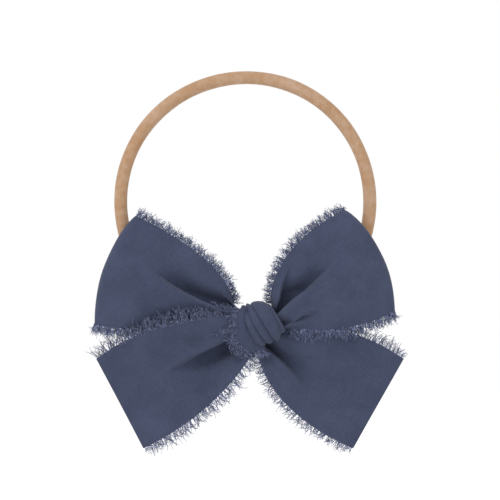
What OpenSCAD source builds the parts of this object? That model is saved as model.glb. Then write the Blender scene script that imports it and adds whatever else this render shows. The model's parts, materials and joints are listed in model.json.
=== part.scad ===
// Hand-tied hair bow on a stretch nylon headband.
// A frayed cloth strip is tied round the band: two loops above, two tails below, one knot.
// The bow faces -Y, the band's top points to +Z, and the origin is the centre of the knot's flat back.

/* [Headband] */
// Diameter of the relaxed band, on the centreline of its tube
band_loop_d = 93.4; // [86:0.2:104]
// Diameter of the rolled nylon tube
band_tube_d = 4.5; // [3.6:0.1:5]
// Angle between the two butted ends of the nylon strip
band_gap_angle = 0.6; // [0.2:0.1:2]
// Length of the glued sleeve over the two ends
join_length = 6; // [4:0.5:8]
// Wall of the glued sleeve
join_wall = 0.4; // [0.3:0.05:0.5]
// Space between the sleeve and the nylon
join_gap = 0.02; // [0.01:0.01:0.05]

/* [Cloth] */
// Thickness of the doubled-up cloth skin
cloth_t = 0.6; // [0.4:0.1:0.8]
// Length of the loose threads along the outer edges
fringe_long = 4; // [2:0.5:6]
// Length of the loose threads where two edges lie close together
fringe_short = 2; // [1:0.25:2.25]
// Thickness of the thread layer
fringe_t = 0.3; // [0.2:0.05:0.4]

/* [Loops] */
// Distance between the two plies at the outer fold
fold_gap = 6; // [4:0.5:8]
// Extra distance between the plies at mid-length
loop_puff = 3.5; // [1:0.5:5]
// Distance between the two plies where they enter the knot
root_gap = 2; // [1.5:0.25:3]

/* [Knot] */
// Length of the cloth sleeve that holds the band
keeper_length = 12; // [9:0.5:14]
// Radius of the channel for the band
keeper_bore_r = 3.1; // [3.05:0.05:3.3]
// Distance from the knot's flat back to the band's centreline
band_depth = 4.2; // [4.1:0.05:4.4]
// Thickness of the wrap's skin
wrap_t = 1.2; // [0.8:0.1:1.4]

/* [Hidden] */

cloth_colour = [0.075, 0.095, 0.165];
thread_colour = [0.16, 0.19, 0.29];
nylon_colour = [0.62, 0.42, 0.27];

band_r = band_loop_d / 2;
tube_r = band_tube_d / 2;

// Depths along Y, counted from the knot's flat back
knot_mid_y = -12.6;
loop_back_y = -7.6;
tail_root_y = -10.5;
tail_end_y = -6.5;
keeper_front_y = -8.4;
keeper_outer_r = 4.8;

// Edges of each cloth piece from knot to outer end, as cubic curves of [x, z] points
left_loop_top = [[-6.5, 8], [-7, 22], [-22, 36], [-40, 42.5]];
left_loop_bottom = [[-7, 3], [-20, 6.5], [-36, -1.5], [-53, -0.5]];
right_loop_top = [[12.8, 5.6], [6.5, 19.5], [16, 38], [35.5, 44]];
right_loop_bottom = [[15.8, -0.2], [26, -2.5], [41, 2.5], [54.5, 1.5]];
left_tail_top = [[-6.5, 0], [-22, 1], [-38, -5], [-54.5, -9.5]];
left_tail_bottom = [[2.5, -10.5], [-5, -24], [-18, -40], [-38, -46]];
right_tail_top = [[16.5, -5.5], [30, -4], [44, -2], [59.5, -11.5]];
right_tail_bottom = [[7.5, -12.5], [11, -26], [22, -38], [38, -46.5]];
loop_bow_out = 2.6;
tail_bow_out = 0;
tail_wave = 1.5;

// The wrap runs from upper left to lower right across the front of the knot
wrap_left = [1, -1];
wrap_right = [13, 2.3];
wrap_along = [0.45, -0.893];
wrap_across = [0.893, 0.45];
wrap_half_left = 11;
wrap_half_right = 5.2;
wrap_front_low = 4.2;
wrap_front_rise = 1.8;
wrap_back = 3.4;
wrap_flare = 4.5;
wrap_flare_share = 0.4;

ply_steps = 10;
across_steps = 8;
fold_angles = [36 : 36 : 144];

function lerp(a, b, k) = a + (b - a) * k;
function unit(v) = v / norm(v);
function smooth(k) = let (c = min(1, max(0, k))) c * c * (3 - 2 * c);
function curve(p, s) =
    p[0] * pow(1 - s, 3) + p[1] * 3 * s * pow(1 - s, 2) + p[2] * 3 * s * s * (1 - s) + p[3] * pow(s, 3);

// Direction in which a piece's outer end points, square to the line between its two corners
function outward(top, bottom) =
    let (chord = bottom[3] - top[3], side = unit([-chord[1], chord[0]]))
    side * (side * (top[3] - top[0]) > 0 ? 1 : -1);

// Flat outline of a piece: s runs from knot to outer end, t from top edge to bottom edge
function outline(top, bottom, bow, s, t) =
    lerp(curve(top, s), curve(bottom, s), t) + outward(top, bottom) * bow * 4 * t * (1 - t) * s * s;

function to_3d(p, y) = [p[0], y, p[1]];

// A loop's back ply, its front ply and the fold between them
function back_ply_y(s) = lerp(knot_mid_y + root_gap / 2, loop_back_y, smooth(s / 0.4));
function ply_gap(s, t) =
    lerp(root_gap, fold_gap, smooth(s)) + loop_puff * sin(180 * s) * (0.6 + 0.4 * sin(180 * t));
function front_ply_y(s, t) = back_ply_y(s) - ply_gap(s, t);
function loop_rows(top, bottom) = concat(
    [for (i = [0 : ply_steps]) let (s = i / ply_steps)
        [for (j = [0 : across_steps]) let (t = j / across_steps)
            to_3d(outline(top, bottom, loop_bow_out, s, t), front_ply_y(s, t))]],
    [for (a = fold_angles)
        [for (j = [0 : across_steps]) let (t = j / across_steps)
            to_3d(outline(top, bottom, loop_bow_out, 1, t) + outward(top, bottom) * fold_gap / 2 * sin(a),
                  loop_back_y - fold_gap / 2 * (1 + cos(a)))]],
    [for (i = [ply_steps : -1 : 0]) let (s = i / ply_steps)
        [for (j = [0 : across_steps]) let (t = j / across_steps)
            to_3d(outline(top, bottom, loop_bow_out, s, t), back_ply_y(s))]]);

// A tail is a single ply that swells forward once near the knot
function tail_y(s, t) =
    lerp(tail_root_y, tail_end_y, smooth(s)) - tail_wave * sin(180 * s) * cos(360 * t);
function tail_rows(top, bottom) =
    [for (i = [0 : ply_steps]) let (s = i / ply_steps)
        [for (j = [0 : across_steps]) let (t = j / across_steps)
            to_3d(outline(top, bottom, tail_bow_out, s, t), tail_y(s, t))]];

// The wrap goes round the knot at angle a, with its frayed edge at v = 0
function wrap_half(v) = lerp(wrap_half_left, wrap_half_right, pow(v, 0.75));
function wrap_front(v) = wrap_front_low + wrap_front_rise * sin(180 * pow(v, 1.6));
function wrap_spread(v) = wrap_flare * pow(max(0, 1 - v / wrap_flare_share), 2);
function wrap_point(a, v) =
    let (middle = lerp(wrap_left, wrap_right, v),
         flat = middle - wrap_along * wrap_half(v) * sin(a) - wrap_across * wrap_spread(v) * max(0, cos(a)),
         depth = cos(a) > 0 ? wrap_front(v) : wrap_back)
    to_3d(flat, knot_mid_y - depth * cos(a));
function wrap_rows() =
    [for (a = [-170 : 10 : 170]) [for (j = [0 : 10]) wrap_point(a, j / 10)]];

// Thread layer that carries a sheet on past one of its edges: column near the edge, column far out
function fringe_rows(rows, edge, inner, reach) =
    [for (row = rows) let (out = unit(row[edge] - row[inner]), start = row[edge] + out * 0.1)
        [start, start + out * reach]];

function sheet_normal(g, i, j) =
    let (along = g[min(i + 1, len(g) - 1)][j] - g[max(i - 1, 0)][j],
         across = g[i][min(j + 1, len(g[0]) - 1)] - g[i][max(j - 1, 0)])
    unit(cross(along, across));

function quad(a, b, c, d) = [[a, b, c], [a, c, d]];

// Closed solid of thickness t round a grid of points
module sheet(g, t) {
    n = len(g);
    m = len(g[0]);
    skins = [for (side = [0.5, -0.5]) for (i = [0 : n - 1]) for (j = [0 : m - 1])
        g[i][j] + sheet_normal(g, i, j) * t * side];
    upper = [for (i = [0 : n - 2]) for (j = [0 : m - 2])
        each quad(i * m + j, i * m + j + 1, (i + 1) * m + j + 1, (i + 1) * m + j)];
    lower = [for (f = upper) [f[2] + n * m, f[1] + n * m, f[0] + n * m]];
    rim = concat([for (j = [0 : m - 1]) j],
                 [for (i = [1 : n - 1]) i * m + m - 1],
                 [for (j = [m - 2 : -1 : 0]) (n - 1) * m + j],
                 [for (i = [n - 2 : -1 : 1]) i * m]);
    walls = [for (k = [0 : len(rim) - 1]) let (a = rim[k], b = rim[(k + 1) % len(rim)])
        each quad(b, a, a + n * m, b + n * m)];
    polyhedron(points = skins, faces = concat(upper, lower, walls), convexity = 6);
}

module on_band() {
    translate([0, -band_depth, band_r]) rotate([90, 0, 0]) children();
}

module nylon_band() {
    color(nylon_colour) on_band()
        rotate(-90 + band_gap_angle / 2)
            rotate_extrude(angle = 360 - band_gap_angle, $fn = 96)
                translate([band_r, 0]) circle(r = tube_r, $fn = 32);
}

module band_join() {
    sleeve_angle = join_length / band_r * 180 / PI;
    color(nylon_colour) on_band()
        rotate(-90 - sleeve_angle / 2)
            rotate_extrude(angle = sleeve_angle, $fn = 96)
                translate([band_r, 0]) difference() {
                    circle(r = tube_r + join_gap + join_wall, $fn = 32);
                    circle(r = tube_r + join_gap, $fn = 32);
                }
}

module band_keeper() {
    color(cloth_colour) difference() {
        intersection() {
            translate([-keeper_length / 2, -band_depth, 0]) rotate([0, 90, 0])
                cylinder(r = keeper_outer_r, h = keeper_length, $fn = 64);
            translate([-keeper_length / 2, keeper_front_y, -keeper_outer_r])
                cube([keeper_length, -keeper_front_y, 2 * keeper_outer_r]);
        }
        translate([-keeper_length / 2 - 1, -band_depth, 0]) rotate([0, 90, 0])
            cylinder(r = keeper_bore_r, h = keeper_length + 2, $fn = 64);
    }
}

// Crossed strands inside the knot
module knot_core() {
    strand_r = 2.3;
    color(cloth_colour) hull()
        for (p = [[3.4, 3.2], [5.4, -3], [10.2, 1.8]])
            translate(to_3d(p, knot_mid_y)) sphere(r = strand_r, $fn = 20);
}

module knot_wrap() {
    color(cloth_colour) sheet(wrap_rows(), wrap_t);
}

// Threads on the wrap's left edge, on the front of the knot only
module knot_fringe() {
    rows = [for (a = [-50 : 10 : 50]) [wrap_point(a, 0), wrap_point(a, 0.1)]];
    color(thread_colour) sheet(fringe_rows(rows, 0, 1, fringe_short), fringe_t);
}

module loop(top, bottom) {
    color(cloth_colour) sheet(loop_rows(top, bottom), cloth_t);
}

module tail(top, bottom) {
    color(cloth_colour) sheet(tail_rows(top, bottom), cloth_t);
}

// Threads on both long edges of a loop or a tail, clear of the knot by a number of rows at each root
module fringes(all_rows, roots, top_reach, bottom_reach) {
    clear_rows = 2;
    rows = [for (i = [clear_rows : len(all_rows) - 1 - clear_rows * (roots - 1)]) all_rows[i]];
    last = across_steps;
    color(thread_colour) {
        sheet(fringe_rows(rows, 0, 1, top_reach), fringe_t);
        sheet(fringe_rows(rows, last, last - 1, bottom_reach), fringe_t);
    }
}

module left_loop() { loop(left_loop_top, left_loop_bottom); }
module right_loop() { loop(right_loop_top, right_loop_bottom); }
module left_tail() { tail(left_tail_top, left_tail_bottom); }
module right_tail() { tail(right_tail_top, right_tail_bottom); }
module left_loop_fringe() { fringes(loop_rows(left_loop_top, left_loop_bottom), 2, fringe_long, fringe_short); }
module right_loop_fringe() { fringes(loop_rows(right_loop_top, right_loop_bottom), 2, fringe_long, fringe_short); }
module left_tail_fringe() { fringes(tail_rows(left_tail_top, left_tail_bottom), 1, fringe_short, fringe_long); }
module right_tail_fringe() { fringes(tail_rows(right_tail_top, right_tail_bottom), 1, fringe_short, fringe_long); }

nylon_band();
band_join();
band_keeper();
knot_core();
knot_wrap();
knot_fringe();
left_loop();
left_loop_fringe();
right_loop();
right_loop_fringe();
left_tail();
left_tail_fringe();
right_tail();
right_tail_fringe();
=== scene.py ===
# %% [markdown]
# # A frayed cloth bow on a nylon headband
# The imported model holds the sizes, the joints and a plain solid for every part. This notebook loads it,
# leaves it where it is, and dresses each part in real cloth, thread and nylon.

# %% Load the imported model
import json
import math
import random

import bpy
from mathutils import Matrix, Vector, noise

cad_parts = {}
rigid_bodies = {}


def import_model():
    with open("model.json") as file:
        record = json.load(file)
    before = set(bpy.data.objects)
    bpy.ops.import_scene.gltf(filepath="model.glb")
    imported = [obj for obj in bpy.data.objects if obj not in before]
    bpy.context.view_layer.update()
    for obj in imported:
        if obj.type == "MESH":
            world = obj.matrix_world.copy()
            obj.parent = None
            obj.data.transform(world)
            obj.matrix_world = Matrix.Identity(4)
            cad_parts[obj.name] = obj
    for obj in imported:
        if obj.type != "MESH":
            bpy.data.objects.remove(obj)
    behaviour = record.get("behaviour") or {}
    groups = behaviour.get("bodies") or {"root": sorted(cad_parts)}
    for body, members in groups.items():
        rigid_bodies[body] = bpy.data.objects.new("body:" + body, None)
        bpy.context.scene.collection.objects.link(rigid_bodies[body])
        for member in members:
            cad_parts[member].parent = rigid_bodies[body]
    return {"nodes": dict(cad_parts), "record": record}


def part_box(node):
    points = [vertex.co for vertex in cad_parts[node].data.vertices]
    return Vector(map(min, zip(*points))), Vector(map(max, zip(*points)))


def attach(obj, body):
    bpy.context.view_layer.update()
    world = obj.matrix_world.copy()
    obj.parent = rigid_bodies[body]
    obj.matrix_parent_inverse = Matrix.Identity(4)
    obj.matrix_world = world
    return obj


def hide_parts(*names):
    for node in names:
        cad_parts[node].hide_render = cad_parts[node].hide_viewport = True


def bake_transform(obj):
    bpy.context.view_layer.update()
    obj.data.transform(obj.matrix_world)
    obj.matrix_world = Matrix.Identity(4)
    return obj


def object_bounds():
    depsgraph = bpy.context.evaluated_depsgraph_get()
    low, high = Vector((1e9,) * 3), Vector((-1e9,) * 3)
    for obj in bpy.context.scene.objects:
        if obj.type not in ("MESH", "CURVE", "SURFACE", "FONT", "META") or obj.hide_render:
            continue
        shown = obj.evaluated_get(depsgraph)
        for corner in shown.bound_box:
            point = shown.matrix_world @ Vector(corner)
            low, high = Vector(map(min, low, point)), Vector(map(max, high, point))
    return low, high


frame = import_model()
cad_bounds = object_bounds()
MM = 0.001
print("overall size in mm:", [round((high - low) / MM, 1) for low, high in zip(*cad_bounds)])

# %% [markdown]
# ## Camera, light and floor
# The bow is flat and soft, so it is shown square from the front with a long lens, which keeps its outline
# true. A bright, even world gives shadow only where cloth folds in on itself; one broad lamp adds shape.

# %% Camera
scene = bpy.context.scene
scene.view_settings.view_transform = "Standard"
VIEW_WIDTH = 0.1875
VIEW_MIDDLE_X = 0.0017
VIEW_MIDDLE_Z = 0.0287
CAMERA_DISTANCE = 1.0
SENSOR_WIDTH = 36.0

head_ring = next(m for m in frame["record"]["mounts"] if m["name"] == "head_ring")["pos_m"]
camera_target = Vector((VIEW_MIDDLE_X, head_ring[1], VIEW_MIDDLE_Z))
camera_data = bpy.data.cameras.new("front_camera")
camera_data.sensor_width = SENSOR_WIDTH
camera_data.lens = SENSOR_WIDTH * CAMERA_DISTANCE / VIEW_WIDTH
camera = bpy.data.objects.new("front_camera", camera_data)
camera.location = camera_target - Vector((0, CAMERA_DISTANCE, 0))
camera.rotation_euler = (math.radians(90), 0, 0)
scene.collection.objects.link(camera)
scene.camera = camera
print("lens in mm:", round(camera_data.lens))


# %% Soft light
def soft_lamp(name, place, size, power, target):
    data = bpy.data.lights.new(name, "AREA")
    data.shape = "DISK"
    data.size = size
    data.energy = power
    lamp = bpy.data.objects.new(name, data)
    lamp.location = place
    lamp.rotation_euler = (Vector(target) - Vector(place)).to_track_quat("-Z", "Y").to_euler()
    scene.collection.objects.link(lamp)


world = bpy.data.worlds.new("studio")
world.use_nodes = True
world.node_tree.nodes["Background"].inputs["Color"].default_value = (1, 1, 1, 1)
world.node_tree.nodes["Background"].inputs["Strength"].default_value = 1.0
scene.world = world
soft_lamp("key", place=(-0.45, -0.75, 0.85), size=0.5, power=4.0, target=(0, 0, 0.02))
print("lights: white world and one broad key lamp")

# %% [markdown]
# ## Shader arithmetic
# Every finish below is worked out from a few patterns. Wrapping a socket in a small class lets a formula
# be written as a formula: each operator adds the Math node that does it.


# %% Sockets that take part in arithmetic
class Socket:
    def __init__(self, tree, socket):
        self.tree = tree
        self.socket = socket

    def math(self, operation, *others):
        node = self.tree.nodes.new("ShaderNodeMath")
        node.operation = operation
        for slot, term in zip(node.inputs, [self, *others]):
            feed(self.tree, slot, term)
        return Socket(self.tree, node.outputs[0])

    def __add__(self, other):
        return self.math("ADD", other)

    def __mul__(self, other):
        return self.math("MULTIPLY", other)

    # A sum or a product is the same both ways round, so 2 * pattern needs no node of its own.
    __radd__ = __add__
    __rmul__ = __mul__

    def __sub__(self, other):
        return self.math("SUBTRACT", other)

    def __rsub__(self, other):
        return self * -1 + other


def feed(tree, slot, value):
    """Link a socket into a slot, or set the slot to a plain value."""
    if isinstance(value, Socket):
        tree.links.new(value.socket, slot)
    else:
        slot.default_value = value


# %% One builder for every finish
class Finish:
    """A material under construction: node adds a pattern, surface turns the patterns into a surface."""

    def __init__(self, name):
        self.material = bpy.data.materials.new(name)
        self.material.use_nodes = True
        self.tree = self.material.node_tree
        self.tree.nodes.clear()

    def node(self, kind, settings=None, values=None, output=0):
        """Add one node, set it, then fill or link its inputs; the result is one of its outputs."""
        node = self.tree.nodes.new("ShaderNode" + kind)
        for name, setting in (settings or {}).items():
            if name == "stops":
                ramp = node.color_ramp.elements
                for index, (place, colour) in enumerate(setting):
                    stop = ramp[index] if index < 2 else ramp.new(place)
                    stop.position = place
                    stop.color = colour
            else:
                setattr(node, name, setting)
        for name, value in (values or {}).items():
            feed(self.tree, node.inputs[name], value)
        return Socket(self.tree, node.outputs[output]) if node.outputs else None

    def surface(self, **values):
        named = {name.replace("_", " "): value for name, value in values.items()}
        shader = self.node("BsdfPrincipled", values=named)
        self.node("OutputMaterial", values={"Surface": shader})
        return self.material


# %% [markdown]
# ## Navy cotton
# The strip is a soft plain weave, dyed in the piece. Its threads are too fine to count from arm's length,
# but they break up the light: the gaps between them are painted a little darker, as painted shade, and
# the dye sits a little unevenly along them. The weave follows the strip's own length and width, so it
# bends with every fold.


# %% Woven cloth
THREAD_PITCH = 0.45 * MM
NAVY = (0.046, 0.056, 0.099, 1)
NAVY_LIGHT = (0.061, 0.073, 0.126, 1)
NAVY_DARK = (0.033, 0.041, 0.078, 1)


def woven_cloth(name):
    finish = Finish(name)
    strip = finish.node("UVMap", {"uv_map": "strip"})
    axes = finish.node("SeparateXYZ", values={"Vector": strip}).socket.node.outputs
    along = Socket(finish.tree, axes[0]) * (math.pi / THREAD_PITCH)
    across = Socket(finish.tree, axes[1]) * (math.pi / THREAD_PITCH)
    weave_and_gap_shade = along.math("SINE") * across.math("SINE") * 0.5 + 0.5
    gaps = 1 - weave_and_gap_shade

    place = finish.node("TexCoord", output=3)
    cloudy = finish.node("TexNoise", values={"Vector": place, "Scale": 90, "Detail": 3})
    stretched = finish.node("Mapping", values={"Vector": strip, "Scale": (260, 2600, 1)})
    weft_slub = finish.node("TexNoise", values={"Vector": stretched, "Scale": 1, "Detail": 2})
    turned = finish.node("Mapping", values={"Vector": strip, "Scale": (2600, 260, 1)})
    warp_slub = finish.node("TexNoise", values={"Vector": turned, "Scale": 1, "Detail": 2})
    slub = (weft_slub + warp_slub) * 0.5

    # cloudy and slub are uneven dye; the weave term is painted shade in the gaps between threads.
    shade = cloudy * 0.35 + slub * 0.5 + weave_and_gap_shade * 0.15
    stops = [(0.34, NAVY_DARK), (0.5, NAVY), (0.66, NAVY_LIGHT)]
    colour = finish.node("ValToRGB", {"stops": stops}, {"Fac": shade})
    crinkle = finish.node("TexNoise", values={"Vector": place, "Scale": 520, "Detail": 2})
    height = slub * 0.5 + crinkle * 1.6 - gaps * 0.3
    normal = finish.node("Bump", values={"Strength": 0.6, "Distance": 0.16 * MM, "Height": height})
    return finish.surface(Base_Color=colour, Roughness=0.92, Normal=normal,
                          Sheen_Weight=0.08, Sheen_Roughness=0.5, Specular_IOR_Level=0.2)


navy_cloth = woven_cloth("navy_cloth")
print("cloth threads per cm:", round(10 * MM / THREAD_PITCH))

# %% [markdown]
# ## Loose threads
# Where the strip is frayed, single threads stand free. Each catches more light than the imported weave
# does, so its colours are painted paler than the cloth's, as painted light; the mottle among them is a
# slightly different depth of dye.


# %% Loose thread
# Both thread colours are paler than the cloth's navy: painted light for the light the loose threads catch.
THREAD_PALE_PAINTED_LIGHT = (0.22, 0.25, 0.41, 1)
THREAD_BLUE_PAINTED_LIGHT = (0.115, 0.136, 0.245, 1)


def loose_thread(name):
    finish = Finish(name)
    place = finish.node("TexCoord", output=3)
    patch = finish.node("TexNoise", values={"Vector": place, "Scale": 900, "Detail": 1})
    # The noise mixes the cloth's light navy with the two paler painted-light blues; the mottle itself is
    # uneven dye.
    stops = [(0.32, NAVY_LIGHT), (0.5, THREAD_BLUE_PAINTED_LIGHT), (0.68, THREAD_PALE_PAINTED_LIGHT)]
    colour = finish.node("ValToRGB", {"stops": stops}, {"Fac": patch})
    return finish.surface(Base_Color=colour, Roughness=0.8, Sheen_Weight=0.1, Specular_IOR_Level=0.25)


navy_thread = loose_thread("navy_thread")
print("palest thread:", THREAD_PALE_PAINTED_LIGHT[:3])

# %% [markdown]
# ## Nude nylon
# The band is a strip of tights fabric that curls into a tube. Its knit runs in fine ribs round the ring,
# with a soft bloom of sheen where the surface turns away.


# %% Knitted nylon
NYLON = (0.402, 0.250, 0.150, 1)
NYLON_WARM = (0.372, 0.212, 0.110, 1)
NYLON_PALE = (0.450, 0.300, 0.205, 1)
RIB_PITCH = 0.35 * MM


def knitted_nylon(name):
    finish = Finish(name)
    strip = finish.node("UVMap", {"uv_map": "strip"})
    axes = finish.node("SeparateXYZ", values={"Vector": strip}).socket.node.outputs
    ribs = (Socket(finish.tree, axes[1]) * (2 * math.pi / RIB_PITCH)).math("SINE")
    courses = (Socket(finish.tree, axes[0]) * (2 * math.pi / RIB_PITCH)).math("SINE")
    place = finish.node("TexCoord", output=3)
    mottle = finish.node("TexNoise", values={"Vector": place, "Scale": 420, "Detail": 4})
    drift = finish.node("TexNoise", values={"Vector": place, "Scale": 60, "Detail": 1})
    shade = mottle * 0.6 + drift * 0.4
    stops = [(0.36, NYLON_WARM), (0.5, NYLON), (0.66, NYLON_PALE)]
    colour = finish.node("ValToRGB", {"stops": stops}, {"Fac": shade})
    height = ribs * 0.5 + courses * 0.25 + mottle * 0.6
    normal = finish.node("Bump", values={"Strength": 0.3, "Distance": 0.06 * MM, "Height": height})
    return finish.surface(Base_Color=colour, Roughness=0.75, Normal=normal,
                          Sheen_Weight=0.35, Sheen_Roughness=0.35, Specular_IOR_Level=0.25)


nude_nylon = knitted_nylon("nude_nylon")
print("nylon ribs per cm:", round(10 * MM / RIB_PITCH))

# %% [markdown]
# ## Floor
# A bow is worn or hung, so nothing rests on the floor. It lies a little below the tails, as a wide white
# sheet would. A backdrop that curves up would do the same work; a flat one is simpler and shows no join.

# %% Floor
FLOOR_GAP = 0.04
FLOOR_REACH = 3.0
floor_finish = Finish("pale_floor").surface(Base_Color=(1, 1, 1, 1), Roughness=1.0, Specular_IOR_Level=0.0)
floor_mesh = bpy.data.meshes.new("floor")
floor_z = cad_bounds[0][2] - FLOOR_GAP
corners = [(x * FLOOR_REACH, y * FLOOR_REACH, floor_z) for x, y in ((-1, -1), (1, -1), (1, 1), (-1, 1))]
floor_mesh.from_pydata(corners, [], [(0, 1, 2, 3)])
floor_mesh.materials.append(floor_finish)
floor = bpy.data.objects.new("floor", floor_mesh)
scene.collection.objects.link(floor)
print("floor below the frame's origin in mm:", round(-floor_z / MM))

# %% [markdown]
# ## Cloth as a grid
# A loop or a tail is a length of one strip. Cloth simulation could drop such a strip into place, but it
# would not stop at the folds that this knot has set. So each length is a grid of points, placed by
# formula: one direction runs along the strip, the other across it. The grid keeps the weave straight, and
# its two long sides carry the fringe.


# %% Curves and outlines
def mix(a, b, share):
    return a + (b - a) * share


def smooth(value):
    value = min(1.0, max(0.0, value))
    return value * value * (3 - 2 * value)


def bezier(points, s):
    weights = ((1 - s) ** 3, 3 * s * (1 - s) ** 2, 3 * s * s * (1 - s), s ** 3)
    return sum((Vector(point) * weight for point, weight in zip(points, weights)), Vector((0, 0)))


# Below 1, this puts the fullest part of a fold's bow nearer to its top.
BOW_LEAN = 0.82


class Outline:
    """Flat shape of a loop or tail in mm, as seen from the front: x to the right, z up.

    top and bottom are its long edges, from the knot outwards; bow_out is how far its far end bows.
    A point is s of the way out and t of the way down from the top edge.
    """

    def __init__(self, top, bottom, bow_out):
        self.top = top
        self.bottom = bottom
        self.bow_out = bow_out
        chord = Vector(bottom[3]) - Vector(top[3])
        side = Vector((-chord.y, chord.x)).normalized()
        self.outward = side if side.dot(Vector(top[3]) - Vector(top[0])) > 0 else -side

    def point(self, s, t):
        flat = mix(bezier(self.top, s), bezier(self.bottom, s), t)
        u = t ** BOW_LEAN
        return flat + self.outward * self.bow_out * 4 * u * (1 - u) * s * s


# %% Creases
# The sides of a fold line, looking along it away from the knot.
LEFT, RIGHT = 1, -1


class Crease:
    """A fold line that runs out of the knot: soft on one side; on the other a lip leans over the groove.

    Sizes are in mm: depth of the groove, width of its soft side, height of the lip, and sharp, which is the
    width of the groove on the lip's side.
    """

    def __init__(self, path, depth, soft, lip, soft_side, sharp=0.8):
        self.path = [Vector(point) for point in path]
        self.depth = depth
        self.soft = soft
        self.sharp = sharp
        self.lip = lip
        self.soft_side = soft_side

    def nearest(self, point):
        """From the line to a point: the offset, the side, and how far along the line it is."""
        best = None
        legs = len(self.path) - 1
        for index in range(legs):
            start, end = self.path[index], self.path[index + 1]
            leg = end - start
            share = min(1.0, max(0.0, (point - start).dot(leg) / leg.length_squared))
            offset = point - (start + leg * share)
            if best is None or offset.length < best[0].length:
                side = LEFT if leg.x * offset.y - leg.y * offset.x > 0 else RIGHT
                best = (offset, side, (index + share) / legs)
        return best

    def shift(self, point):
        """How a point moves in mm: to the right, up, and back; the lip slides over the groove."""
        offset, side, along = self.nearest(point)
        distance = offset.length
        fade = smooth((1 - along) / 0.75)
        widen = 1 + 1.1 * along
        if side == self.soft_side:
            return Vector((0, 0)), self.depth * fade * math.exp(-(distance / (self.soft * widen)) ** 2)
        groove = math.exp(-(distance / self.sharp) ** 2)
        crest = math.exp(-((distance - 1.7 * self.sharp) / (1.9 * self.sharp)) ** 2)
        slide = offset * (-min(1.0, 1.5 * self.sharp / max(distance, 0.01)) * crest * fade)
        return slide, fade * (self.depth * groove - self.lip * crest)


def held_back(y, limit, blend=1.2):
    """y, eased so that it never passes the limit behind it."""
    over = y - (limit - blend)
    return y if over < 0 else limit - blend * math.exp(-over / blend)


LOOP_LIMIT_Y = -7.2
PLY_GAP = 0.8


def folded(flat, y, creases, share=1.0, limit=LOOP_LIMIT_Y):
    """The point of the cloth in mm once the folds have moved it, and no further back than the limit."""
    for slide, back in [crease.shift(flat) for crease in creases]:
        flat = flat + slide * share
        y += back * share
    return Vector((flat.x, held_back(y, limit), flat.y))


# %% Meshes from grids
def grid_normals(grid):
    rows, columns = len(grid), len(grid[0])
    normals = []
    for i in range(rows):
        row = []
        for j in range(columns):
            along = grid[min(i + 1, rows - 1)][j] - grid[max(i - 1, 0)][j]
            across = grid[i][min(j + 1, columns - 1)] - grid[i][max(j - 1, 0)]
            row.append(along.cross(across).normalized())
        normals.append(row)
    return normals


def piece_from(name, points, faces, material, uvs=None):
    mesh = bpy.data.meshes.new(name)
    mesh.from_pydata(points, [], faces)
    mesh.materials.append(material)
    if uvs:
        layer = mesh.uv_layers.new(name="strip")
        for loop in mesh.loops:
            layer.data[loop.index].uv = uvs[loop.vertex_index]
    mesh.polygons.foreach_set("use_smooth", [True] * len(mesh.polygons))
    mesh.update()
    piece = bpy.data.objects.new(name, mesh)
    scene.collection.objects.link(piece)
    return piece


def cloth_sheet(name, grid, thickness, material):
    """A closed sheet round a grid of points in metres, with the strip's length and width as its UV."""
    rows, columns = len(grid), len(grid[0])
    normals = grid_normals(grid)
    points, uvs = [], []
    for side in (0.5, -0.5):
        length = 0.0
        for i, row in enumerate(grid):
            if i:
                length += (row[columns // 2] - grid[i - 1][columns // 2]).length
            width = 0.0
            for j, point in enumerate(row):
                if j:
                    width += (point - row[j - 1]).length
                points.append(point + normals[i][j] * thickness * side)
                uvs.append((length, width))
    size = rows * columns
    faces = []
    for i in range(rows - 1):
        for j in range(columns - 1):
            a, b = i * columns + j, i * columns + j + 1
            c, d = b + columns, a + columns
            faces.append((d, c, b, a))
            faces.append((a + size, b + size, c + size, d + size))
    rim = [j for j in range(columns)]
    rim += [i * columns + columns - 1 for i in range(1, rows)]
    rim += [(rows - 1) * columns + j for j in range(columns - 2, -1, -1)]
    rim += [i * columns for i in range(rows - 2, 0, -1)]
    for a, b in zip(rim, rim[1:] + rim[:1]):
        faces.append((a, b, b + size, a + size))
    return piece_from(name, points, faces, material, uvs)


# %% [markdown]
# ## Frayed edges
# The maker pulls the outer warp threads off the strip, which leaves the weft threads standing free. Each
# one keeps the crimp it had in the weave, so it comes out wavy and curls at its tip. Hair particles would
# not survive as solid geometry, so every thread is a thin closed tube along its own wavy line.


# %% One thread
def thread_tube(points, faces, path, radius):
    """Add a three-sided closed tube along a path of points."""
    sides = 3
    first = len(points)
    last = len(path) - 1
    for index, centre in enumerate(path):
        forward = (path[min(index + 1, last)] - path[max(index - 1, 0)]).normalized()
        side = forward.cross(Vector((0.31, 0.87, 0.38))).normalized()
        up = forward.cross(side)
        girth = radius * (1 - 0.45 * (index / last) ** 3)
        for corner in range(sides):
            angle = 2 * math.pi * corner / sides
            points.append(centre + (side * math.cos(angle) + up * math.sin(angle)) * girth)
    for index in range(last):
        ring = first + index * sides
        for corner in range(sides):
            after = (corner + 1) % sides
            faces.append((ring + corner, ring + after, ring + sides + after, ring + sides + corner))
    faces.append(tuple(first + corner for corner in reversed(range(sides))))
    faces.append(tuple(first + last * sides + corner for corner in range(sides)))


# %% A whole fringe
THREAD_RADIUS = 0.12 * MM
THREAD_STEPS = 12
CRIMP_LENGTH = 1.2 * MM
SHORTEST_SPAN = 0.001 * MM
# Threads stand out in the plane of the bow more than the pleats at an edge would turn them.
FLATTENED = 0.25
# Over the last millimetres of an edge the threads get shorter, down to this share.
END_TAPER = 5.0
END_SHARE = 0.85


def sway(place, seed):
    """Slow wander along an edge, which gathers the threads into tufts."""
    return (math.sin(place * 1.9 + seed) + 0.7 * math.sin(place * 4.3 + 2.1 * seed)
            + 0.5 * math.sin(place * 7.7 + 0.7 * seed)) / 2.2


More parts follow.
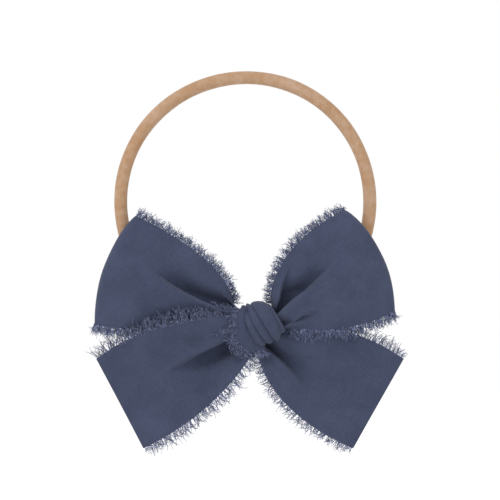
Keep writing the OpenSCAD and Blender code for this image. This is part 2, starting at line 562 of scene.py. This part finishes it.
def thread_path(root, outward, tangent, heading, rise, length, draw):
    """Middle line of one thread, which starts a little inside the edge, then leans, waves and curls."""
    normal = tangent.cross(outward)
    crimps = length / CRIMP_LENGTH * draw.uniform(0.8, 1.2)
    wobble = draw.uniform(0.6, 1.2)
    phase = draw.uniform(0, 2 * math.pi)
    curl = draw.gauss(0, 1.2)
    path = [root - outward * draw.uniform(0.2, 0.9) * MM]
    for step in range(THREAD_STEPS):
        q = (step + 0.5) / THREAD_STEPS
        wave = phase + q * crimps * 2 * math.pi
        grown = min(1.0, 4 * q)
        turn = heading + curl * q * q + wobble * grown * math.sin(wave)
        tilt = rise + 0.5 * wobble * grown * math.cos(wave * 0.9)
        flat = outward * math.cos(turn) + tangent * math.sin(turn)
        path.append(path[-1] + (flat * math.cos(tilt) + normal * math.sin(tilt)) * (length / THREAD_STEPS))
    return path


def frayed_edge(points, faces, edge, inner, reach, lift, threads_per_mm, draw):
    """Threads along one edge: edge and inner are matching lines of points, inner lying inside the cloth."""
    seed = draw.uniform(0, 6)
    whole = sum((b - a).length for a, b in zip(edge, edge[1:]))
    travelled = 0.0
    count = 0
    for index in range(len(edge) - 1):
        start, end = edge[index], edge[index + 1]
        span = (end - start).length
        if span < SHORTEST_SPAN:
            continue
        tangent = (end - start) / span
        wanted = span / MM * threads_per_mm
        number = int(wanted) + (1 if draw.random() < wanted - int(wanted) else 0)
        for _ in range(number):
            share = draw.random()
            root = mix(start, end, share)
            outward = (root - mix(inner[index], inner[index + 1], share)).normalized()
            outward.y *= FLATTENED
            outward = (outward - tangent * outward.dot(tangent)).normalized()
            place = (travelled + span * share) / MM
            heading = 0.35 * sway(place, seed) + draw.gauss(0, 0.20)
            rise = lift + 0.20 * sway(place * 0.7, seed + 2) + draw.gauss(0, 0.16)
            length = reach * draw.triangular(0.45, 1.4, 1.1) * (1 + 0.15 * sway(place * 0.5, seed + 4))
            length *= mix(END_SHARE, 1.0, smooth((whole / MM - place) / END_TAPER))
            path = thread_path(root, outward, tangent, heading, rise, length, draw)
            thread_tube(points, faces, path, THREAD_RADIUS * draw.uniform(0.8, 1.2))
        count += number
        travelled += span
    return count


# %% [markdown]
# ## Loops
# Each loop is a length of strip folded back on itself. It could be bent from a flat sheet with modifiers,
# but then its outline would be hard to steer. Here the outline comes from its two long edges. The depth
# comes from the hollow between the plies, the pleats where the strip is squeezed into the knot, and the
# few deep creases that the knot pulls into the front.

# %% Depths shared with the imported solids, in mm along Y
KNOT_MID_Y = -12.6
LOOP_BACK_Y = -7.6
ROOT_GAP = 2.0
FOLD_GAP = 6.0
LOOP_PUFF = 4.6
CLOTH_THICKNESS = 0.32
# Where the strip runs on to inside the knot, and how far, as a share of its length.
KNOT_HEART = Vector((5.0, -0.5))
INTO_KNOT = -0.12
# Distance between the points of a grid in mm, and how many columns and rows that makes.
STEP = 0.45
LOOP_COLUMNS = int(46 / STEP)
TAIL_COLUMNS = int(44 / STEP)
FOLD_ROWS = 11
LOOP_PLEAT = 2.4
TAIL_PLEAT = 1.8
print("columns across a loop and a tail:", LOOP_COLUMNS, TAIL_COLUMNS)


def uneven(x, y, z, size):
    """Slow unevenness of slack cloth, from -1 to 1."""
    return noise.noise(Vector((x, y, z)) / size)


def rooted(outline, s, t):
    """Outline point; below s = 0 the strip runs on into the knot."""
    if s >= 0:
        return outline.point(s, t)
    return mix(outline.point(0, t), KNOT_HEART, min(1.0, -s * 6))


def pleat_at(s, t, depth, pleats, gone_at, phase):
    """How far the pleats move the cloth back in mm: deep at the knot, gone at gone_at."""
    size = depth * smooth((s + 0.15) / 0.2) * (1 - smooth((s + 0.02) / gone_at))
    return size * math.cos(2 * math.pi * pleats * t + phase)


# %% One loop as a grid
def stations_along(outline):
    """Places along the strip, from inside the knot at less than 0 to the far end at 1."""
    count = int((outline.point(1, 0.5) - outline.point(0, 0.5)).length / STEP) + 1
    return [mix(INTO_KNOT, 1, i / count) for i in range(count + 1)]


def loop_grid(outline, creases, pleats, sink, seed):
    """Front ply, fold and back ply, row by row; sink lowers the front's bottom edge behind the tail."""

    def back_y(s):
        return mix(KNOT_MID_Y + ROOT_GAP / 2, LOOP_BACK_Y, smooth(s / 0.4))

    def gap(s, t):
        s = max(0.0, s)
        puff = LOOP_PUFF * math.sin(math.pi * s) * (0.45 + 0.55 * math.sin(math.pi * t))
        open_fold = FOLD_GAP * (0.72 + 0.38 * math.sin(math.pi * t) + 0.10 * math.cos(5 * t + seed))
        return mix(ROOT_GAP, open_fold, smooth(s)) + puff

    def ply(s):
        front_row, back_row = [], []
        for j in range(LOOP_COLUMNS + 1):
            t = j / LOOP_COLUMNS
            flat = rooted(outline, s, t)
            slack = uneven(flat.x, seed, flat.y, 14) * smooth(s * 3)
            y = back_y(s) + pleat_at(s, t, LOOP_PLEAT, pleats, gone_at=0.42, phase=0.4) + 0.8 * slack
            sunk = sink * t ** 3 * (1 - smooth((s - 0.5) / 0.4))
            behind = folded(flat, y, creases, 1 - smooth(s / 0.5))
            front = folded(flat, y - gap(s, t) - slack + sunk, creases, limit=behind.y - PLY_GAP)
            front_row.append(front * MM)
            back_row.append(behind * MM)
        return front_row, back_row

    plies = [ply(s) for s in stations_along(outline)]
    front_edge, back_edge = plies[-1]
    rows = [front for front, back in plies]
    for k in range(1, FOLD_ROWS):
        angle = math.pi * k / FOLD_ROWS
        row = []
        for front, back in zip(front_edge, back_edge):
            depth = (back.y - front.y) / 2
            side = outline.outward * (depth * math.sin(angle))
            middle = mix(front, back, (1 - math.cos(angle)) / 2)
            row.append(middle + Vector((side.x, 0, side.y)))
        rows.append(row)
    rows += [back for front, back in reversed(plies)]
    return rows


# %% The two loops
left_outline = Outline(((-4.2, 8), (-5.5, 19), (-18, 30), (-39.2, 40.7)),
                       ((-6, 1.5), (-20, 2.0), (-38, -2.5), (-54.3, 0.6)), bow_out=2.85)
right_outline = Outline(((9.2, 7.5), (8.6, 20), (18, 34), (35.2, 42.6)),
                        ((14.8, -0.9), (27, -1.5), (42, -1.0), (53.6, 5.2)), bow_out=4.0)

left_creases = [
    Crease([(-5, 5.0), (-16.5, 9.9), (-23, 13.2), (-28.5, 16.6), (-33, 20.4), (-38, 25)],
           depth=7.2, soft=3.7, lip=1.2, soft_side=RIGHT),
    Crease([(-4, 8), (-7.7, 12.0), (-12, 18)],
           depth=2.6, soft=2.2, lip=0.3, soft_side=RIGHT),
]
right_creases = [
    Crease([(10, 4), (12.0, 8.5), (12.9, 10.8), (13.6, 13.7), (15.7, 18.9), (19, 26)],
           depth=5.6, soft=2.2, lip=0.9, soft_side=RIGHT),
    Crease([(11, 4.5), (17.6, 10.4), (22.3, 13.7), (27, 18.4), (30, 21.6), (37, 30)],
           depth=6.8, soft=3.2, lip=1.3, soft_side=LEFT),
    Crease([(14.1, -0.4), (21.6, 4.2), (32, 7)],
           depth=2.6, soft=2.6, lip=0.4, soft_side=RIGHT, sharp=1.2),
]

left_grid = loop_grid(left_outline, left_creases, pleats=2.5, sink=4.2, seed=3.0)
right_grid = loop_grid(right_outline, right_creases, pleats=3, sink=0.0, seed=8.0)
left_loop = cloth_sheet("left_loop_cloth", left_grid, CLOTH_THICKNESS * MM, navy_cloth)
right_loop = cloth_sheet("right_loop_cloth", right_grid, CLOTH_THICKNESS * MM, navy_cloth)
print("loop grid:", len(left_grid), "rows of", len(left_grid[0]), "points")

# %% [markdown]
# ## Tails
# A tail is the strip's single ply, cut straight across at its end. It opens from the knot like a fan. The
# same grid serves, with one ply and a slow wave instead of a hollow. Its upper edge lies over the loop's
# lower one, so it is lifted forward a little.

# %% One tail as a grid
TAIL_ROOT_Y = -10.5
TAIL_END_Y = -6.5
TAIL_LIMIT_Y = -3.0
TAIL_WAVE = 1.5


def tail_grid(outline, creases, pleats, edge_lift, seed):
    """One ply, row by row; edge_lift brings the upper edge forward over the loop."""
    rows = []
    for s in stations_along(outline):
        reach = max(0.0, s)
        middle_y = mix(TAIL_ROOT_Y, TAIL_END_Y, smooth(reach))
        wave = TAIL_WAVE * math.sin(math.pi * reach)
        lift = edge_lift * (0.75 + 0.25 * smooth(reach / 0.3)) * (1 - 0.6 * smooth((reach - 0.55) / 0.45))
        row = []
        for j in range(TAIL_COLUMNS + 1):
            t = j / TAIL_COLUMNS
            flat = rooted(outline, s, t)
            y = middle_y - wave * math.cos(2 * math.pi * t)
            y += pleat_at(s, t, TAIL_PLEAT, pleats, gone_at=0.45, phase=seed)
            y -= lift * (1 - t) ** 2.4
            y += uneven(flat.x, seed, flat.y, 16) * 0.7 * smooth(reach * 3)
            row.append(folded(flat, y, creases, limit=TAIL_LIMIT_Y) * MM)
        rows.append(row)
    return rows


# %% The two tails
left_tail_outline = Outline(((-5.5, 4.4), (-20, 3.9), (-38, 1.0), (-55.7, -11.9)),
                            ((2.4, -10.0), (-4, -21), (-18, -36), (-38.2, -45.5)), bow_out=0)
right_tail_outline = Outline(((13.5, 1.0), (29, 1.5), (44, -1.5), (59.2, -12.0)),
                             ((4.8, -10.0), (7, -24), (22, -38), (40.3, -45.5)), bow_out=0)
left_tail_creases = [
    Crease([(-2, -2.5), (-5.8, -4.5), (-17.3, -10.4), (-23.7, -14.2), (-32, -20)],
           depth=7.2, soft=5.0, lip=1.2, soft_side=LEFT),
]
right_tail_creases = [
    Crease([(6.5, -6.5), (8.0, -8.0), (13.8, -13), (19.8, -18.4), (26, -25)],
           depth=5.5, soft=3.4, lip=1.1, soft_side=LEFT),
]

left_tail_rows = tail_grid(left_tail_outline, left_tail_creases, pleats=1.5, edge_lift=6.0, seed=1.0)
right_tail_rows = tail_grid(right_tail_outline, right_tail_creases, pleats=1.5, edge_lift=0.0, seed=5.0)
left_tail = cloth_sheet("left_tail_cloth", left_tail_rows, CLOTH_THICKNESS * MM, navy_cloth)
right_tail = cloth_sheet("right_tail_cloth", right_tail_rows, CLOTH_THICKNESS * MM, navy_cloth)
print("tail grid:", len(left_tail_rows), "rows of", len(left_tail_rows[0]), "points")

# %% [markdown]
# ## Knot
# One turn of the strip goes over the front of the knot, from upper left to lower right. Pulled tight, it
# bunches into rolls; its left edge stays loose and lies flat as a frayed flap. Sculpting could give such
# rolls, but a few lines over the knot, with a roll between each pair, say the same thing in six rows of
# numbers.

# %% The turn over the knot
class Rib:
    """One line over the knot, v of the way across it.

    In mm: where it leaves the front at the top and at the bottom, its middle, and how far forward that is.
    """

    def __init__(self, v, top, bottom, middle, front):
        self.v = v
        self.centre = (Vector(top) + Vector(bottom)) / 2
        self.half = (Vector(top) - Vector(bottom)) / 2
        self.bulge = Vector(middle) - self.centre
        self.front = front


RIBS = [
    Rib(0.00, (-1.8, 6.8), (4.6, -6.6), (0.8, -0.8), 3.2),
    Rib(0.12, (-1.4, 7.3), (5.6, -6.3), (1.7, -1.0), 4.2),
    Rib(0.30, (0.5, 7.4), (7.6, -5.3), (3.9, 0.0), 4.9),
    Rib(0.52, (2.3, 7.9), (10.1, -4.0), (6.4, 1.7), 5.4),
    Rib(0.85, (8.4, 8.1), (12.8, -1.9), (11.0, 2.9), 4.9),
    Rib(1.00, (10.0, 6.8), (14.3, -0.6), (12.6, 2.9), 3.7),
]
# Each roll of cloth: from where to where across the knot it lies, and its height in mm.
ROLLS = [(0.12, 0.30, 0.8), (0.30, 0.52, 1.2), (0.52, 0.85, 1.7), (0.85, 1.04, 0.8)]
BACK_DEPTH = 3.3


def through(points, u):
    """Smooth line through the points, for u from 0 to 1."""
    legs = len(points) - 1
    index = min(legs - 1, int(u * legs))
    share = u * legs - index
    p0, p1 = points[max(index - 1, 0)], points[index]
    p2, p3 = points[index + 1], points[min(index + 2, legs)]
    return 0.5 * (2 * p1 + (p2 - p0) * share + (2 * p0 - 5 * p1 + 4 * p2 - p3) * share ** 2
                  + (3 * p1 - p0 - 3 * p2 + p3) * share ** 3)


def between_ribs(v):
    v = min(0.9999, max(0.0, v))
    index = max(i for i, rib in enumerate(RIBS) if rib.v <= v)
    low, high = RIBS[index], RIBS[index + 1]
    u = (index + (v - low.v) / (high.v - low.v)) / (len(RIBS) - 1)
    parts = ("centre", "half", "bulge", "front")
    return [through([getattr(rib, part) for rib in RIBS], u) for part in parts]


def roll_height(v):
    for low, high, height in ROLLS:
        if low <= v < high:
            share = (v - low) / (high - low)
            return height * math.sin(math.pi * share) ** 0.5
    return 0.0


def wrap_point(angle, v):
    """Angle 0 is the front and 90 degrees the top; v runs from 0 under the flap to 1.1."""
    centre, half, bulge, front = between_ribs(v)
    back = BACK_DEPTH
    tuck = 1 - 0.6 * smooth((v - 1.0) / 0.1)
    sine, cosine = math.sin(angle), math.cos(angle)
    wander = 0.010 * math.sin(angle * 2.3 + 6 * v)
    roll = roll_height(v + wander) * smooth((cosine + 0.9) / 0.6)
    round_sine = math.copysign(abs(sine) ** 0.9, sine)
    round_cosine = math.copysign(abs(cosine) ** 0.8, cosine)
    flat = centre + half * (1 + roll / half.length) * tuck * round_sine + bulge * max(0.0, cosine)
    depth = (front + roll) * tuck if cosine > 0 else back * tuck
    ripple = 0.10 * math.cos(2 * math.pi * 24 * v + 1.5 * sine) * abs(uneven(flat.x, 2.0, flat.y, 4))
    ripple += 0.35 * uneven(flat.x + flat.y, 9.0, flat.y * 0.6, 2.6)
    return Vector((flat.x, KNOT_MID_Y - (depth + ripple) * round_cosine, flat.y)) * MM


# The turn stays open for 12 degrees at the back, where it goes on into the knot.
wrap_angles = [math.radians(angle) for angle in range(-174, 175, 3)]
WRAP_COLUMNS = 130
wrap_columns = [1.1 * j / WRAP_COLUMNS for j in range(WRAP_COLUMNS + 1)]
wrap_grid = [[wrap_point(angle, v) for v in wrap_columns] for angle in wrap_angles]
knot_wrap = cloth_sheet("knot_wrap_cloth", wrap_grid, CLOTH_THICKNESS * MM, navy_cloth)
print("rolls over the knot:", len(ROLLS), "from", len(RIBS), "lines")

# %% The flap at the left of the knot
FLAP_ROOT = [Vector(point) for point in ((0.4, 6.8), (0.9, 2.5), (2.0, -1.5), (4.0, -4.8), (7.0, -6.2))]
FLAP_EDGE = [Vector(point) for point in ((-2.8, 7.0), (-3.6, 3.0), (-4.0, -1.5), (-3.4, -5.8), (-1.0, -8.4),
                                         (2.8, -9.4), (7.2, -8.8))]
# Depth of the flap's root and edge along Y in mm, each at its top and at its bottom.
FLAP_ROOT_Y = (-16.4, -13.6)
FLAP_EDGE_Y = (-15.9, -12.2)


def flap_point(u, w):
    """u runs down the flap; w runs from its root under the rolls to its frayed edge."""
    flat = mix(through(FLAP_ROOT, u), through(FLAP_EDGE, u), w)
    root_y = mix(*FLAP_ROOT_Y, smooth((u - 0.5) / 0.5))
    edge_y = mix(*FLAP_EDGE_Y, smooth((u - 0.3) / 0.6))
    y = mix(root_y, edge_y, w ** 1.6) - 1.1 * math.sin(math.pi * w) ** 1.5
    y += 0.35 * uneven(flat.x, 4.0, flat.y, 3.5) * w
    return Vector((flat.x, y, flat.y)) * MM


def sampled(point, rows, columns):
    """Grid of point(u, w), with u going down its rows from 0 to 1, and w across them."""
    return [[point(i / rows, j / columns) for j in range(columns + 1)] for i in range(rows + 1)]


flap_grid = sampled(flap_point, rows=60, columns=30)
knot_flap = cloth_sheet("knot_flap_cloth", flap_grid, CLOTH_THICKNESS * MM, navy_cloth)
print("flap grid:", len(flap_grid), "rows of", len(flap_grid[0]), "points")

# %% The strands crossed inside the knot
core_low, core_high = (Vector(corner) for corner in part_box("knot_core"))
core_middle = (core_low + core_high) / 2
core_half = (core_high - core_low) / 2
CORE_STRANDS = 5
CORE_TWIST = 1.4


def core_point(u, w):
    """u goes round the bundle of strands; w goes along it."""
    around = 2 * math.pi * u
    rise = mix(-0.97, 0.97, w)
    swell = 1 + 0.10 * math.cos(CORE_STRANDS * (around + CORE_TWIST * rise))
    ring = math.cos(rise * math.pi / 2) ** 0.5 * swell
    return core_middle + Vector((core_half.x * 0.9 * math.sin(rise * math.pi / 2),
                                 core_half.y * ring * math.cos(around),
                                 core_half.z * ring * math.sin(around)))


core_rows = sampled(core_point, rows=60, columns=40)
knot_core = cloth_sheet("knot_core_cloth", core_rows, CLOTH_THICKNESS * MM, navy_cloth)
print("room for the core in mm:", [round(2 * half / MM, 1) for half in core_half])

# %% [markdown]
# ## Keeper
# Behind the knot the strip passes round the band. It is gathered there into soft ridges. A plain tube of
# cloth would look like a bead, so the ridges are part of the radius, and the sheet turns forward into the
# knot.

# %% The cloth behind the band
band_axis_y = head_ring[1] / MM
keeper_low, keeper_high = (Vector(corner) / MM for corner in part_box("band_keeper"))
keeper_half = (keeper_high.x - keeper_low.x) / 2
keeper_depth = keeper_high.y - band_axis_y - CLOTH_THICKNESS
KEEPER_REACH = 155
RIDGE_HEIGHT, FINE_RIDGE_HEIGHT = 0.28, 0.10


def keeper_point(u, v):
    """u goes round the back of the band, from below to above; v goes along the band."""
    angle = math.radians(mix(-KEEPER_REACH, KEEPER_REACH, u))
    w = mix(-1, 1, v)
    ridges = RIDGE_HEIGHT * math.cos(2 * math.pi * (2.6 * w + 0.12 * math.sin(2 * angle)))
    ridges += FINE_RIDGE_HEIGHT * math.cos(2 * math.pi * (5.3 * w + 0.3))
    flare = -0.3 * w ** 4
    radius = keeper_depth - 0.35 + ridges + flare
    forward = smooth((abs(angle) - math.radians(80)) / math.radians(60))
    x = w * keeper_half * (1 + 0.08 * math.sin(angle * 2 + 1))
    y = band_axis_y + radius * math.cos(angle) - 2.2 * forward
    z = (radius + 0.5) * math.sin(angle)
    return Vector((x, y, z)) * MM


keeper_rows = sampled(keeper_point, rows=90, columns=60)
band_keeper = cloth_sheet("band_keeper_cloth", keeper_rows, CLOTH_THICKNESS * MM, navy_cloth)
print("keeper's outer radius in mm:", round(keeper_depth, 2))

# %% [markdown]
# ## Nylon ring
# A strip of nylon jersey curls up on itself when it is stretched, so the band is a soft tube with its two
# raw edges rolled together along the back. A curve with a round bevel would be quicker, but it has no
# seam. The tube is swept by formula instead, with a slit between two lips, and it is a little uneven
# along its length.

# %% The curled tube
ring_low, ring_high = (Vector(corner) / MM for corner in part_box("nylon_band"))
tube_radius = (ring_high.y - ring_low.y) / 2
ring_radius = (ring_high.x - ring_low.x) / 2 - tube_radius
ring_middle = (ring_low + ring_high) / 2
ring_middle.z = ring_high.z - tube_radius - ring_radius
SLIT_DEPTH = 0.30
LIP_HEIGHT = 0.16


def band_point(turn, around):
    """turn goes round the ring from its lowest point; around goes round the tube from its front."""
    back = math.atan2(math.sin(around - math.pi), math.cos(around - math.pi))
    slit = SLIT_DEPTH * math.exp(-(back / 0.16) ** 2)
    lip = LIP_HEIGHT * math.exp(-((back - 0.42) / 0.30) ** 2)
    wobble = 0.012 * math.sin(5 * turn + 1) + 0.010 * math.sin(11 * turn + 2.3)
    fuller = 0.25 * smooth((1 - math.cos(turn)) / 0.08)
    radius = tube_radius * (0.985 + wobble) + fuller - slit + lip * 0.6
    sway_out = 0.16 * math.sin(3 * turn + 0.6) * (1 - math.cos(turn)) / 2
    outward = Vector((math.sin(turn), 0, -math.cos(turn)))
    centre = ring_middle + outward * (ring_radius + sway_out)
    return (centre + outward * radius * math.sin(around) - Vector((0, radius * math.cos(around), 0))) * MM


def tube_piece(name, point, turns, around_steps, material, ends_gap):
    points, faces, uvs = [], [], []
    for i in range(turns + 1):
        turn = mix(ends_gap, 2 * math.pi - ends_gap, i / turns)
        for j in range(around_steps):
            around = 2 * math.pi * j / around_steps
            points.append(point(turn, around))
            wrapped = abs(math.pi - around)
            uvs.append((turn * ring_radius * MM, wrapped * tube_radius * MM))
    for i in range(turns):
        for j in range(around_steps):
            after = (j + 1) % around_steps
            a, b = i * around_steps + j, i * around_steps + after
            faces.append((a, a + around_steps, b + around_steps, b))
    faces.append(tuple(range(around_steps)))
    faces.append(tuple(reversed(range(turns * around_steps, (turns + 1) * around_steps))))
    return piece_from(name, points, faces, material, uvs)


nylon_band = tube_piece("nylon_band_tube", band_point, turns=400, around_steps=48, material=nude_nylon,
                        ends_gap=math.radians(0.3))
print("ring radius, tube radius in mm:", round(ring_radius, 2), round(tube_radius, 2))

# %% [markdown]
# ## Glued sleeve
# A short sleeve covers the two ends of the nylon, behind the knot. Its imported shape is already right, so
# it stays, and only gets a finish of its own: nylon stiffened with a little glue, smoother than the band.

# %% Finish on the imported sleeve
join_finish = Finish("glued_sleeve")
join_place = join_finish.node("TexCoord", output=3)
join_grain = join_finish.node("TexNoise", values={"Vector": join_place, "Scale": 1500, "Detail": 2})
join_stops = [(0.4, NYLON_WARM), (0.6, NYLON)]
join_colour = join_finish.node("ValToRGB", {"stops": join_stops}, {"Fac": join_grain})
join_bump = {"Strength": 0.3, "Distance": 0.05 * MM, "Height": join_grain}
join_normal = join_finish.node("Bump", values=join_bump)
join_material = join_finish.surface(Base_Color=join_colour, Roughness=0.55, Normal=join_normal)
for slot in frame["nodes"]["band_join"].material_slots:
    slot.material = join_material
print("finish on the sleeve:", join_material.name)

# %% [markdown]
# ## Fringes
# Every long edge carries the same fringe, so one function reads the edge off a grid and grows the
# threads. The reach differs a little: where an edge was handled most, more of its warp is gone and the
# threads are longer.


# %% Grow the fringes
def fringe_piece(name, edges, seed):
    draw = random.Random(seed)
    points, faces = [], []
    count = sum(frayed_edge(points, faces, edge, inner, reach * MM, lift, per_mm, draw)
                for edge, inner, reach, lift, per_mm in edges)
    print(name, "threads:", count, "faces:", len(faces))
    return piece_from(name, points, faces, navy_thread)


# Each kind of edge: reach in mm, lean towards the front in radians, threads to the mm.
TALL = (6.2, 0.04, 5.5)
LONG = (5.4, 0.0, 5.2)
EVEN = (4.2, 0.0, 5.0)
HANGING = (5.2, 0.04, 7.0)
ROOT_ROWS = 13


def strip_edges(grid, rows_left_bare, top, bottom):
    """The two edges of a grid, without the rows in the knot and those left bare at the other end."""
    rows = grid[ROOT_ROWS:len(grid) - rows_left_bare]
    return [([row[0] for row in rows], [row[2] for row in rows], *top),
            ([row[-1] for row in rows], [row[-3] for row in rows], *bottom)]


left_fringe = fringe_piece("left_loop_threads", strip_edges(left_grid, ROOT_ROWS, EVEN, HANGING), 11)
right_fringe = fringe_piece("right_loop_threads", strip_edges(right_grid, ROOT_ROWS, EVEN, HANGING), 12)
left_tail_fringe = fringe_piece("left_tail_threads", strip_edges(left_tail_rows, 1, TALL, LONG), 13)
right_tail_fringe = fringe_piece("right_tail_threads", strip_edges(right_tail_rows, 1, LONG, EVEN), 14)

# %% The flap's fringe, in three lines of threads from its edge inwards
FLAP_LINES = ((1, 4.6, 0.0), (2, 4.2, 0.0), (5, 3.4, -0.25))
flap_edges = [([row[-place] for row in flap_grid], [row[-place - 4] for row in flap_grid], reach, lift, 5.0)
              for place, reach, lift in FLAP_LINES]
knot_fringe = fringe_piece("knot_threads", flap_edges, 15)

# %% [markdown]
# ## Riding
# The knot carries what is tied into it, and the band rides on the headband. The loops, tails and their
# fringes keep the place where they were built: their transforms are baked, and no joint carries them.

# %% Ride, and bake the rest in place
for piece in (knot_wrap, knot_flap, knot_core, band_keeper, knot_fringe):
    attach(piece, "knot")
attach(nylon_band, "headband")

BENDS = {
    "left_loop": (left_outline, (left_loop, left_fringe)),
    "right_loop": (right_outline, (right_loop, right_fringe)),
    "left_tail": (left_tail_outline, (left_tail, left_tail_fringe)),
    "right_tail": (right_tail_outline, (right_tail, right_tail_fringe)),
}
for body, (outline, pieces) in BENDS.items():
    start = outline.point(0, 0.5)
    end = outline.point(0.3, 0.5)
    for piece in pieces:
        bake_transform(piece)
print("pieces that bend with their body:", sum(len(pieces) for _, pieces in BENDS.values()))

# %% Hide the imported part that each piece stands for
STANDS_FOR = (
    (knot_wrap, "knot_wrap"), (knot_flap, "knot_wrap"), (knot_core, "knot_core"),
    (band_keeper, "band_keeper"), (knot_fringe, "knot_fringe"), (nylon_band, "nylon_band"),
    (left_loop, "left_loop"), (left_fringe, "left_loop_fringe"),
    (right_loop, "right_loop"), (right_fringe, "right_loop_fringe"),
    (left_tail, "left_tail"), (left_tail_fringe, "left_tail_fringe"),
    (right_tail, "right_tail"), (right_tail_fringe, "right_tail_fringe"),
)
for piece, node in STANDS_FOR:
    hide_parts(node)

print("pieces that stand for packed parts:", len(STANDS_FOR))

# %% [markdown]
# ## Flat sizes
# Each loop and tail prints the length of strip it was cut from. All of them are lengths of one strip. A
# pleat shortens the middle of a length but not its edges, so the edges tell how long it is.


def strip_length(grid):
    """Mean length of the strip's two edges, which no pleat takes up."""
    edges = [sum((after[j] - before[j]).length for before, after in zip(grid, grid[1:])) for j in (0, -1)]
    return sum(edges) / 2


for piece, grid, held, fringe in ((left_loop, left_grid, "folded", left_fringe),
                                  (right_loop, right_grid, "folded", right_fringe),
                                  (left_tail, left_tail_rows, "gathered", left_tail_fringe),
                                  (right_tail, right_tail_rows, "gathered", right_tail_fringe)):
    strip_length(grid)
    print(piece.name, "is cut from", round(strip_length(grid) / MM), "mm of strip")
strip_length(wrap_grid)
strip_length(keeper_rows)
